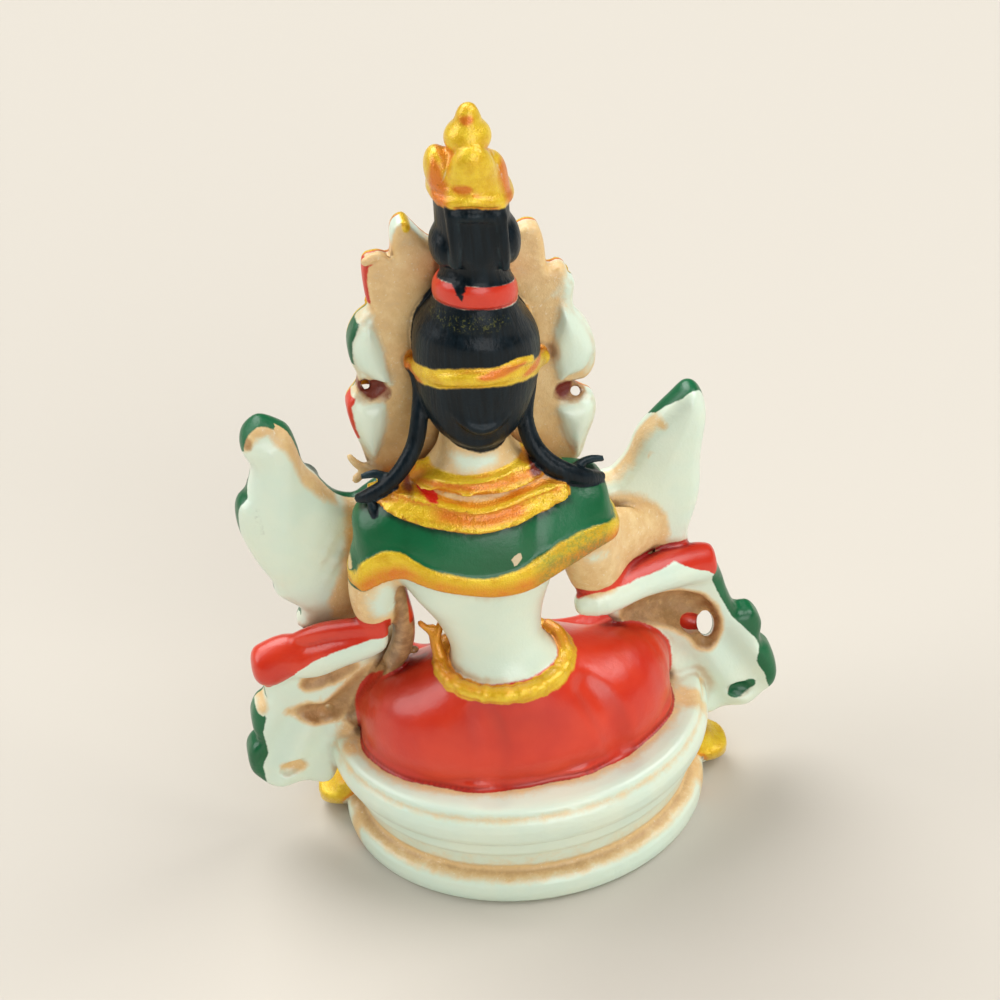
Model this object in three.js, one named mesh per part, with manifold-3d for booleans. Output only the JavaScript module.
// A small painted figure of Tara, seated on a lotus base, cast in resin as one piece. Millimetres, +Z up.
// She faces -Y. Her left side is +X. The origin is the middle of the base's underside.
// The base is laid out in millimetres. The figure on it is laid out in units of its own:
// it is UNITS_TALL from the seat to the tip of the crown, and x, y and z count from the seat's middle.
import * as THREE from "three";
import { mergeVertices } from "three/addons/utils/BufferGeometryUtils.js";
import Module from "manifold-3d";

const FIGURE_HEIGHT = 85; // seat to the tip of the crown
const UNITS_TALL = 85;
const UNIT = FIGURE_HEIGHT / UNITS_TALL;

const BASE_WIDTH = 44; // the foot ring, side to side
const BASE_DEPTH = 41.2; // the foot ring, front to back
const BASE_HEIGHT = 15;
const FOOT_RING_HEIGHT = 3.4;
const GROOVE_DEPTH = 1.6; // between the foot ring and the body above it
const RIM_OVERHANG = 1.2; // the seat's rim beyond the foot ring
const RIM_HEIGHT = 2.6;

const PETALS_PER_TIER = 9;
const PETAL_SPREAD = 190; // degrees of the front that carry petals; the back is plain
const PETAL_SIDES = 4; // facets across each petal
const PLAIN_SIDES = 14; // facets round the plain back
// Each petal runs from its root height to its tip height, bulges by `belly`, and curls out by `curl` at the tip.
const UPPER_PETAL = { root: 6, tip: 13.6, belly: 1.7, curl: 0.9 };
const LOWER_PETAL = { root: 6.4, tip: 1.6, belly: 2.3, curl: 1.1 };

const CROWN_HOLE = 2; // the pierced holes in the crown's side plates, across
const SCARF_HOLE = 3.4; // the hole behind the right scarf tail, across
const PIN_HOLE = 1.1; // the small hole in the left scarf tail, across

const wasm = await Module();
wasm.setup();

// A closed three.js geometry as a solid.
function solid(geometry) {
  const bare = new THREE.BufferGeometry();
  bare.setAttribute("position", geometry.getAttribute("position"));
  if (geometry.index) bare.setIndex(geometry.index);
  const merged = mergeVertices(bare, 1e-4);
  const index = merged.index.array;
  const triangles = [];
  for (let i = 0; i < index.length; i += 3) {
    const [a, b, c] = [index[i], index[i + 1], index[i + 2]];
    if (a !== b && b !== c && c !== a) triangles.push(a, b, c);
  }
  const build = (list) =>
    new wasm.Manifold(
      new wasm.Mesh({
        numProp: 3,
        vertProperties: merged.attributes.position.array,
        triVerts: new Uint32Array(list),
      }),
    );
  const made = build(triangles);
  return made.volume() < 0 ? build(triangles.reverse()) : made;
}

function join(solids) {
  return solids.reduce((whole, next) => whole.add(next));
}

function geometryOf(manifold) {
  const mesh = manifold.getMesh();
  const geometry = new THREE.BufferGeometry();
  geometry.setAttribute("position", new THREE.BufferAttribute(mesh.vertProperties, 3));
  geometry.setIndex(new THREE.BufferAttribute(mesh.triVerts, 1));
  geometry.computeVertexNormals();
  return geometry;
}

const onFigure = (x, y, z) => new THREE.Vector3(x * UNIT, y * UNIT, BASE_HEIGHT + z * UNIT);

// Smooth values between the given rows, which all have the same length. Each gap gets `steps` steps.
function smoothed(rows, steps) {
  if (steps === 1) return rows;
  const at = (i) => rows[Math.min(Math.max(i, 0), rows.length - 1)];
  const out = [];
  for (let i = 0; i < rows.length - 1; i++)
    for (let s = 0; s < steps; s++) {
      const t = s / steps;
      out.push(
        rows[i].map((_, k) => {
          const [p, q, r, w] = [at(i - 1)[k], at(i)[k], at(i + 1)[k], at(i + 2)[k]];
          const bend = t * (r - p + t * (2 * p - 5 * q + 4 * r - w + t * (3 * (q - r) + w - p)));
          return q + 0.5 * bend;
        }),
      );
    }
  out.push(rows[rows.length - 1]);
  return out;
}

// A closed skin over rings of points, with a fan over each end.
function skin(rings) {
  const sides = rings[0].length;
  const points = rings.flat();
  const index = [];
  for (let i = 0; i < rings.length - 1; i++)
    for (let j = 0; j < sides; j++) {
      const next = (j + 1) % sides;
      const [a, b, c, d] = [i * sides + j, i * sides + next, (i + 1) * sides + next, (i + 1) * sides + j];
      index.push(a, b, c, a, c, d);
    }
  for (const end of [0, rings.length - 1]) {
    const middle = rings[end].reduce((sum, p) => sum.add(p), new THREE.Vector3()).divideScalar(sides);
    points.push(middle);
    for (let j = 0; j < sides; j++) {
      const [a, b] = [end * sides + j, end * sides + ((j + 1) % sides)];
      if (end === 0) index.push(points.length - 1, b, a);
      else index.push(points.length - 1, a, b);
    }
  }
  return solid(new THREE.BufferGeometry().setFromPoints(points).setIndex(index));
}

// A body built up in level slices. A row is x, y, z, half width, half depth.
function column(rows, sides = 10) {
  return skin(
    rows.map(([x, y, z, halfWidth, halfDepth]) =>
      Array.from({ length: sides }, (_, j) => {
        const turn = (j / sides) * 2 * Math.PI;
        return onFigure(x + halfWidth * Math.cos(turn), y + halfDepth * Math.sin(turn), z);
      }),
    ),
  );
}

// A limb, strand or roll of cloth along a path. A row is x, y, z, half height across the path, half depth along Y.
function limb(rows, sides = 8, steps = 1) {
  const stations = smoothed(rows, steps);
  const place = (row) => new THREE.Vector3(row[0], row[1], row[2]);
  const rings = stations.map((row, i) => {
    const before = stations[Math.max(i - 1, 0)];
    const after = stations[Math.min(i + 1, stations.length - 1)];
    const along = place(after).sub(place(before)).normalize();
    const across = new THREE.Vector3(0, 1, 0).cross(along).normalize();
    const deep = along.clone().cross(across).normalize();
    return Array.from({ length: sides }, (_, j) => {
      const turn = (j / sides) * 2 * Math.PI;
      const p = place(row)
        .addScaledVector(across, row[3] * Math.cos(turn))
        .addScaledVector(deep, row[4] * Math.sin(turn));
      return onFigure(p.x, p.y, p.z);
    });
  });
  return skin(rings);
}

// An egg: its middle, its three half sizes, and how far it leans about Y and then about X, in degrees.
function egg([x, y, z], [halfX, halfY, halfZ], leanY = 0, leanX = 0, detail = 8) {
  const shape = new THREE.SphereGeometry(1, detail, Math.ceil(detail * 0.7));
  shape.rotateX(Math.PI / 2);
  shape.scale(halfX * UNIT, halfY * UNIT, halfZ * UNIT);
  shape.rotateY(THREE.MathUtils.degToRad(leanY));
  shape.rotateX(THREE.MathUtils.degToRad(leanX));
  const middle = onFigure(x, y, z);
  return solid(shape.translate(middle.x, middle.y, middle.z));
}

// A closed hoop that lies nearly level: its middle, half sizes, rise to the left and to the back, and the wire's half sizes.
function hoop([x, y, z], [halfX, halfY], [riseLeft, riseBack], [wireOut, wireUp], sides = 14) {
  const shape = new THREE.TorusGeometry(1, 0.1, 4, sides);
  const point = shape.getAttribute("position");
  for (let i = 0; i < point.count; i++) {
    const turn = Math.atan2(point.getY(i), point.getX(i));
    const out = (Math.hypot(point.getX(i), point.getY(i)) - 1) * 10;
    const px = (halfX + out * wireOut) * Math.cos(turn);
    const py = (halfY + out * wireOut) * Math.sin(turn);
    const place = onFigure(x + px, y + py, z + px * riseLeft + py * riseBack + point.getZ(i) * 10 * wireUp);
    point.setXYZ(i, place.x, place.y, place.z);
  }
  return solid(shape);
}

// A cast plate that stands upright, side to side. Its outline is x and z, its back lies at y = back,
// and its rims are rounded.
function plate(outline, back, thickness, round = 0.8, steps = 1) {
  let rim = smoothed([...outline, outline[0]], steps)
    .slice(0, -1)
    .map(([x, z]) => new THREE.Vector2(x, z));
  if (THREE.ShapeUtils.isClockWise(rim)) rim = rim.reverse();
  const inner = rim.map((p, i) => {
    const along = rim[(i + 1) % rim.length].clone().sub(rim[(i + rim.length - 1) % rim.length]).normalize();
    return new THREE.Vector2(p.x - along.y * round, p.y + along.x * round);
  });
  const rings = [
    [inner, back],
    [rim, back - round],
    [rim, back - thickness + round],
    [inner, back - thickness],
  ].map(([ring, y]) => ring.map((p) => onFigure(p.x, y, p.y)));
  const index = [];
  const count = rim.length;
  for (let i = 0; i < rings.length - 1; i++)
    for (let j = 0; j < count; j++) {
      const next = (j + 1) % count;
      const [a, b, c, d] = [i * count + j, i * count + next, (i + 1) * count + next, (i + 1) * count + j];
      index.push(a, b, c, a, c, d);
    }
  const last = (rings.length - 1) * count;
  for (const [a, b, c] of THREE.ShapeUtils.triangulateShape(rim, []))
    index.push(c, b, a, last + a, last + b, last + c);
  return solid(new THREE.BufferGeometry().setFromPoints(rings.flat()).setIndex(index));
}

// A round bar from front to back, for piercing a plate.
function drill(x, z, across, y = 0) {
  const bar = new THREE.CylinderGeometry(across / 2, across / 2, 30, 10);
  const middle = onFigure(x, y, z);
  return solid(bar.translate(middle.x, middle.y, middle.z));
}

// How far a petal stands out from the plain base at a height, across = 0 on its midrib and 1 at its edges.
function petalBulge({ root, tip, belly, curl }, across, z) {
  const along = (z - root) / (tip - root);
  if (along < 0 || along > 1) return 0;
  const halfWidth = along < 0.55 ? 1 : 1 - ((along - 0.55) / 0.45) ** 2 * 0.85;
  if (across >= halfWidth) return 0;
  const round = Math.sqrt(1 - (across / halfWidth) ** 2);
  return round * (belly * Math.sqrt(Math.min(along * 3, 1)) + curl * along ** 2);
}

// The lotus base: a foot ring, a groove, a body and a rim, with two tiers of petals round the front.
function lotusBase() {
  const foot = BASE_WIDTH / 2;
  const rim = foot + RIM_OVERHANG;
  const underRim = BASE_HEIGHT - RIM_HEIGHT;
  const profile = [
    [foot - 0.6, 0],
    [foot, 0.7],
    [foot, FOOT_RING_HEIGHT - 0.8],
    [foot - 0.6, FOOT_RING_HEIGHT],
    [foot - GROOVE_DEPTH, FOOT_RING_HEIGHT + 0.6],
    [foot - GROOVE_DEPTH + 0.2, FOOT_RING_HEIGHT + 2],
    [foot + 0.6, FOOT_RING_HEIGHT + 4.6],
    [foot + 0.7, FOOT_RING_HEIGHT + 6.6],
    [rim - 0.6, underRim - 0.4],
    [rim, underRim + 0.3],
    [rim, BASE_HEIGHT - 0.9],
    [rim - 1.4, BASE_HEIGHT],
  ];
  const spread = THREE.MathUtils.degToRad(PETAL_SPREAD);
  const petalTurns = Array.from({ length: PETALS_PER_TIER * PETAL_SIDES + 1 }, (_, i) => ({
    turn: -Math.PI / 2 + spread * (i / (PETALS_PER_TIER * PETAL_SIDES) - 0.5),
    across: Math.abs(((i % PETAL_SIDES) * 2) / PETAL_SIDES - 1),
  }));
  const plainTurns = Array.from({ length: PLAIN_SIDES - 1 }, (_, i) => ({
    turn: Math.PI / 2 + (2 * Math.PI - spread) * ((i + 1) / PLAIN_SIDES - 0.5),
    across: 1,
  }));
  return skin(
    profile.map(([radius, z]) =>
      [...petalTurns, ...plainTurns].map(({ turn, across }) => {
        const out = radius + Math.max(petalBulge(UPPER_PETAL, across, z), petalBulge(LOWER_PETAL, across, z));
        return new THREE.Vector3(
          out * Math.cos(turn),
          (out - foot + BASE_DEPTH / 2) * Math.sin(turn),
          z,
        );
      }),
    ),
  );
}

function legs() {
  const pelvis = column([
    [0.6, 3.2, -0.6, 18.4, 12.8],
    [0.6, 3.4, 1.2, 18.6, 13],
    [0.9, 4.2, 5, 17, 12],
    [1.4, 5.6, 8.6, 13.6, 9.8],
    [1.8, 7, 11.6, 9.4, 7.6],
    [2.2, 7.4, 13.2, 6.6, 5.6],
  ], 14);
  const thigh = (side, middle) =>
    limb([
      [middle + side * 4, 7, 5.4, 5.4, 6],
      [middle + side * 11, 4.5, 5, 5, 6],
      [middle + side * 15.2, -1.5, 4.2, 4.4, 5],
      [middle + side * 16.2, -8.5, 3.6, 3.8, 4.4],
      [middle + side * 13.4, -12.6, 3.2, 3.2, 3],
    ]);
  const shin = (side, lift) =>
    limb([
      [0.6 + side * 15.4, -9, 3.4, 3.4, 3.6],
      [0.6 + side * 9, -13, 3.4 + lift, 3.3, 3.4],
      [0.6 + side * 1, -13.6, 4 + lift, 3, 3.1],
      [0.6 - side * 6, -11, 5.6 + lift, 2.5, 2.6],
    ]);
  const foot = (side, lift) =>
    egg([0.6 - side * 8.6, -9, 6.8 + lift], [4.6, 2, 2.4], side * -14, 20);
  return [pelvis, thigh(1, 1), thigh(-1, -0.6), shin(1, 0), shin(-1, 1.4), foot(1, 0.4), foot(-1, 1.4)];
}

function torso() {
  return column([
    [2, 7.4, 6, 9.4, 6.4],
    [2.2, 7.8, 11, 7.4, 5.6],
    [2.7, 7.6, 16, 5.4, 4.5],
    [3.2, 7.4, 20, 6.2, 4.8],
    [3.7, 7.2, 24.5, 8.3, 5.4],
    [3.6, 6.6, 30, 11, 5.9],
    [3.3, 5.8, 34.5, 12.4, 5.1],
    [2.9, 5.2, 38, 8.4, 4.4],
    [2.6, 3.4, 41, 4.6, 4.6],
    [2, 1.8, 46.5, 3.8, 4.4],
  ], 12);
}

function belt() {
  const ring = hoop([1.7, 8, 14.2], [8.2, 6.8], [0.2, -0.12], [0.75, 1.2]);
  const tie = limb([
    [9.6, 7, 15.2, 0.8, 0.9],
    [9.7, 5.6, 17.4, 0.6, 0.7],
  ], 6, 1);
  const fork = limb([
    [9.3, 6, 16.4, 0.4, 0.5],
    [8.7, 5.6, 18, 0.3, 0.4],
  ], 6, 1);
  return [ring, tie, fork];
}

function arms() {
  const left = limb([
    [12.4, 5.4, 34.5, 3.4, 3.6],
    [15.2, 5.6, 29.5, 3.5, 3.5],
    [16.3, 5.2, 24.6, 3.2, 3.1],
    [16.2, 4, 20.2, 2.8, 2.8],
    [14.4, -0.6, 19.2, 2.5, 2.5],
    [10.6, -4.6, 22, 2.1, 2.2],
    [7.4, -6, 25, 1.9, 1.7],
  ]);
  const right = limb([
    [-6.4, 5.2, 34, 3.4, 3.6],
    [-8.8, 5.6, 29, 3.5, 3.5],
    [-9.5, 5.2, 24.4, 3.4, 3.2],
    [-10.4, 4, 19.8, 3, 2.9],
    [-12.4, -2, 15.4, 2.4, 2.5],
    [-13.6, -8.2, 11, 1.9, 2],
    [-14, -12, 7.6, 1.8, 1.5],
  ]);
  const leftHand = egg([6, -7, 26.8], [1.9, 1.3, 2.6], -24, 0, 6);
  const rightHand = egg([-14, -13.6, 5.2], [1.9, 1.2, 3], 0, -14, 6);
  const thumb = egg([4.2, -7.4, 27.2], [0.7, 0.7, 1.8], 30, 0, 6);
  return [left, right, leftHand, rightHand, thumb];
}

// The shawl over the upper back: slices from arm to arm, each with its hem at its own height.
function shawl() {
  // x, hem height, how far the back stands out, top height
  const rows = smoothed([
    [18.6, 27.8, 8.2, 33],
    [17.2, 28.6, 9.2, 35],
    [14.6, 30, 10, 36.6],
    [10.5, 29.4, 11.8, 37.4],
    [4.5, 27, 13.4, 38],
    [-1.5, 27.6, 13, 37.4],
    [-6.6, 29, 11.6, 36.6],
    [-10, 29.4, 10, 35.4],
    [-12.8, 29.4, 8.2, 32.4],
  ], 1);
  const rings = rows.map(([x, hem, back, top]) =>
    [
      [2.4, top - 1.2],
      [4.6, top],
      [back - 1.6, top - 1.6],
      [back, (top + hem) / 2 + 1],
      [back + 0.6, hem + 0.8],
      [back + 0.2, hem],
      [back - 2, hem + 0.3],
      [3, hem + 1.2],
    ].map(([y, z]) => onFigure(x, y, z)),
  );
  return skin(rings);
}

function necklaces() {
  return [
    hoop([3, 5, 38.7], [7.2, 5.4], [0.06, 0.26], [0.9, 1.3], 16),
    hoop([3.3, 5.2, 35.6], [10.4, 6.9], [0.06, 0.24], [1, 1.9], 18),
  ];
}

function head() {
  const skull = egg([1.4, 0.4, 49.8], [5.6, 7.2, 6.8], 6, 0, 10);
  const jaw = egg([1.6, -2.4, 46], [4.1, 3.9, 3.4], 6);
  const nose = egg([1.5, -6.8, 48], [0.7, 0.9, 1.5], 6, -12, 6);
  const ears = [-1, 1].map((side) => egg([1.4 + side * 5.9, 0.8, 47.4 + side * 0.6], [0.7, 1.3, 3], 0, 0, 6));
  return [skull, jaw, nose, ...ears];
}

function hair() {
  const crownOfHead = column([
    [2.1, 6.9, 42.2, 1.6, 1.2],
    [2.2, 6.4, 43, 3.6, 2.4],
    [2.1, 5.6, 45, 5.2, 3.6],
    [1.8, 4.2, 48, 6.4, 5.2],
    [1.3, 3, 51, 7, 6.6],
    [1.1, 2.8, 54, 7.2, 7],
    [1, 2.8, 57, 7, 6.7],
    [0.9, 3, 59.6, 6.1, 5.8],
    [0.8, 3.4, 61.6, 4.6, 4.6],
  ]);
  const ribbon = column([
    [0.8, 4, 59.6, 5, 5],
    [0.75, 4, 60.2, 5.1, 5.2],
    [0.7, 4, 62.6, 4.5, 4.6],
    [0.7, 4, 63, 3.9, 4],
  ]);
  const topKnot = column([
    [0.7, 4, 62, 3.7, 3.8],
    [0.65, 4, 63.8, 3.8, 3.9],
    [0.6, 4, 64.6, 3.5, 3.6],
    [0.55, 4, 66, 4.2, 4.1],
    [0.6, 4, 69, 5, 4.6],
    [0.5, 4, 71.4, 4.6, 4.3],
    [0.3, 4, 73.2, 4, 4],
  ]);
  const loops = [-1, 1].map((side) => egg([0.6 + side * 3.7, 4.6, 68.6], [1.6, 2.4, 3.4], side * 8, 0, 6));
  const leftStrand = limb([
    [8.2, 1.6, 50.4, 1, 1],
    [8.6, 3.4, 47.8, 0.8, 1],
    [9.2, 4.6, 45.4, 0.8, 1],
    [10.8, 5.4, 43.2, 0.8, 1],
    [15.4, 5.4, 38.2, 0.8, 1],
  ], 5);
  const rightStrand = limb([
    [-5, 2, 48.6, 1, 1],
    [-4, 4, 45, 0.8, 1],
    [-3.2, 5, 42.6, 0.8, 1],
    [-4.8, 5.6, 39.8, 0.8, 1],
    [-10.9, 5, 33.6, 0.8, 1],
  ], 5);
  const forks = [
    limb([
      [13.8, 5, 40, 0.6, 0.7],
      [17, 3.4, 37.2, 0.5, 0.6],
    ], 6, 1),
    limb([
      [-8.4, 5, 35.6, 0.6, 0.7],
      [-11, 4, 35.2, 0.4, 0.5],
    ], 6, 1),
  ];
  return [crownOfHead, ribbon, topKnot, ...loops, leftStrand, rightStrand, ...forks];
}

function crown() {
  const band = hoop([1, 1.6, 52.5], [7.6, 8.2], [0.13, 0.14], [0.6, 1], 16);
  const leafAngles = [-68, -34, 0, 34, 68];
  const leaves = leafAngles.map((angle) => {
    const turn = THREE.MathUtils.degToRad(angle);
    const tall = 5.2 - 1.2 * Math.abs(Math.sin(turn));
    const middle = [1.2 + 6.9 * Math.sin(turn), 2 - 8.2 * Math.cos(turn), 53 + tall * 0.6];
    return egg(middle, [2.3, 1.1, tall], angle * 0.24, 0, 6);
  });
  const finialBase = column([
    [0.2, 4, 72.4, 4.3, 4.3],
    [0.1, 4, 73.6, 4.5, 4.5],
    [0.1, 4, 74.2, 3.9, 4],
    [0, 4, 76.6, 3.1, 3.6],
    [0, 4, 79, 1.8, 2.6],
    [0, 4, 80, 1.4, 1.6],
  ], 8);
  const lobes = [-1, 1].map((side) => egg([0.2 + side * 3, 3.4, 76.6], [1.7, 2.4, 2.8], side * -10, 0, 6));
  const bud = egg([0, 4, 80.8], [2.5, 2.5, 2.4]);
  const tip = column([
    [0, 4, 81.6, 1.7, 1.7],
    [-0.1, 4, 83.4, 1.5, 1.5],
    [-0.2, 4, 84.6, 0.8, 0.8],
    [-0.2, 4, UNITS_TALL, 0.2, 0.2],
  ], 6);
  return [band, ...leaves, finialBase, ...lobes, bud, tip];
}

// An open flower seen from the front: five round petals about a domed middle.
function bloom(x, y, z, radius, depth) {
  const dome = new THREE.SphereGeometry(1, 20, 4);
  const point = dome.getAttribute("position");
  for (let i = 0; i < point.count; i++) {
    const turn = Math.atan2(point.getX(i), point.getZ(i));
    const spread = Math.hypot(point.getX(i), point.getZ(i)) * (0.82 + 0.18 * Math.cos(5 * turn));
    const place = onFigure(
      x + radius * spread * Math.sin(turn),
      y + (point.getY(i) * depth) / 2,
      z + radius * spread * Math.cos(turn),
    );
    point.setXYZ(i, place.x, place.y, place.z);
  }
  return solid(dome);
}

// The pierced plates of ribbons and flowers beside the head.
function crownPlates() {
  const left = plate([
    [4.6, 65], [6.2, 68.6], [7.4, 70], [8.8, 68.4], [9.3, 65.6], [12.5, 65], [12.3, 59.4], [14.2, 57.7],
    [14.9, 54.4], [14.5, 50.6], [13.6, 48.7], [14.6, 47.7], [16.2, 46.1], [15.9, 43.2], [14.6, 38.7],
    [12.6, 36.4], [9, 34.6], [5.8, 36], [5.2, 46], [4.8, 56],
  ], 0.2, 3);
  const right = plate([
    [-4, 63], [-4.8, 66], [-6.2, 67.2], [-7.5, 66.2], [-8, 61], [-10.4, 60.4], [-11.2, 57.8], [-10.7, 54.6],
    [-12.4, 52], [-12.9, 48.6], [-12.5, 45.4], [-11.2, 43.8], [-12.4, 42], [-12.1, 38.8], [-11, 35.8],
    [-9.4, 33.4], [-6, 32.8], [-2.2, 34.6], [-1.6, 46], [-2.6, 56],
  ], 0.2, 3);
  const flowers = [
    [11.6, 61], [13, 43], [-8.6, 57], [-9.8, 38.6],
  ].map(([x, z]) => egg([x, -2.6, z], [2, 1.4, 2.6], 0, 0, 6));
  return [left, right, ...flowers];
}

// The leaves and open lotus flowers that stand at her shoulders.
function shoulderLotuses() {
  const left = plate([
    [15, 30], [17.3, 33.6], [19.6, 35.8], [21.8, 38.6], [22.4, 43], [24, 45.4], [26.3, 46.8], [27.8, 45],
    [28.8, 42.8], [27.8, 40], [28.6, 36.4], [30.5, 34], [30.4, 30], [28.4, 25.4], [26.6, 20.8],
    [24.2, 18.6], [23.4, 14.6], [15, 14.6],
  ], -0.6, 4.2);
  const right = plate([
    [-11.6, 28.6], [-12.8, 30.8], [-14.9, 31.8], [-16.2, 35.2], [-18.6, 37.6], [-20.6, 40.4], [-23, 41.8],
    [-24.8, 40.9], [-25.6, 37.4], [-24.8, 31], [-24, 25], [-22, 20.6], [-20.8, 16.6], [-11.6, 15],
  ], -0.6, 4.2);
  const stems = [
    limb([
      [6.4, -7.2, 26, 0.7, 0.7],
      [12, -6.4, 24, 0.7, 0.7],
      [18, -5, 25, 0.8, 0.8],
      [23, -4.4, 30, 0.8, 0.8],
    ], 6),
    limb([
      [-14, -12, 8, 0.7, 0.7],
      [-18, -9, 12, 0.7, 0.7],
      [-20, -5, 18, 0.8, 0.8],
      [-19.4, -4.4, 26, 0.8, 0.8],
    ], 6),
  ];
  return [left, right, bloom(24.4, -4.8, 32, 5.2, 2.4), bloom(-19, -4.8, 28.4, 5.2, 2.4), ...stems];
}

// The scarf: a rolled fold over each forearm, and a tail on each side that stands out beside the base.
function scarf() {
  const leftFold = limb([
    [13.9, 5.6, 19.7, 1.8, 1.7],
    [17, 4.6, 18, 2.9, 2.5],
    [20.4, 2.4, 16.4, 3.1, 2.8],
    [25, 0, 13.7, 3.1, 2.8],
    [29, -1, 11.5, 3, 2.6],
    [31, -1.4, 10.8, 1.9, 1.8],
  ]);
  const rightFold = limb([
    [-7, 5.4, 19.4, 0.7, 1.2],
    [-10.6, 4.8, 18.5, 1.8, 2.4],
    [-15, 2.8, 18.4, 2.2, 2.6],
    [-19.6, 0.8, 17.6, 2.4, 2.6],
    [-24, -0.8, 15.8, 2.7, 2.4],
    [-25.9, -1.2, 15.4, 1.9, 1.6],
  ]);
  const leftTail = plate([
    [30.4, 9.4], [32.4, 5.4], [32.2, 1.4], [33.6, -1.4], [33, -5], [29.6, -7.4], [23.4, -7.2], [21.4, -3],
    [18.6, 1.4], [16.6, 5], [12.6, 9], [11.4, 13], [16, 14.6], [24, 13],
  ], 0.6, 4.6, 1);
  const rightTail = plate([
    [-25.2, 15], [-27.6, 9], [-30.8, 6.2], [-30.9, 2.4], [-32.7, -1], [-32, -5], [-28.6, -6.8], [-22.6, -6.6],
    [-19.6, -3], [-18, 1.8], [-15, 6.6], [-11.4, 11], [-14, 13.6], [-20, 14.6],
  ], 0.6, 4.6, 1);
  const innerStrip = limb([
    [12.6, 4.4, 24.4, 0.9, 0.8],
    [12, 3.4, 20.6, 1, 0.8],
    [11.6, 2.4, 16.8, 1.1, 0.8],
    [12.2, 1.4, 13, 1.1, 0.9],
    [14, 0.8, 9.8, 1.2, 1],
    [16.6, 0.2, 6.4, 1.3, 1],
  ], 6);
  const rightHollow = egg([-20.6, 2, 9], [6.4, 3.4, 3.4], -24);
  const leftGrooves = [
    egg([24.6, 0.8, 3.4], [3.4, 1.3, 1], -18, 0, 6),
    egg([21.6, 0.9, 8.8], [3.4, 1.2, 0.8], 14, 0, 6),
  ];
  const dimples = [
    egg([28.4, 1.4, -4.4], [1.9, 1.4, 1.1], 14, 0, 6),
    egg([-28.2, 1.4, -4], [1.8, 1.4, 1], -14, 0, 6),
  ];
  return { added: [leftFold, rightFold, leftTail, rightTail, innerStrip], cut: [rightHollow, ...leftGrooves, ...dimples] };
}

function castFigure() {
  const cloth = scarf();
  const whole = join([
    lotusBase(),
    ...legs(),
    torso(),
    ...belt(),
    ...arms(),
    shawl(),
    ...necklaces(),
    ...head(),
    ...hair(),
    ...crown(),
    ...crownPlates(),
    ...shoulderLotuses(),
    ...cloth.added,
  ]);
  const cuts = join([
    ...cloth.cut,
    drill(14.2, 48.2, CROWN_HOLE),
    drill(-10.4, 42.6, CROWN_HOLE),
    drill(-23.6, 8.4, SCARF_HOLE),
    drill(24.4, 3.4, PIN_HOLE),
  ]);
  return whole.subtract(cuts);
}

const resin = new THREE.MeshStandardMaterial({ color: 0xdfe3d2, roughness: 0.38, metalness: 0 });
const figure = new THREE.Mesh(geometryOf(castFigure()), resin);
figure.name = "tara_figure";

const group = new THREE.Group();
group.add(figure);
export default group;
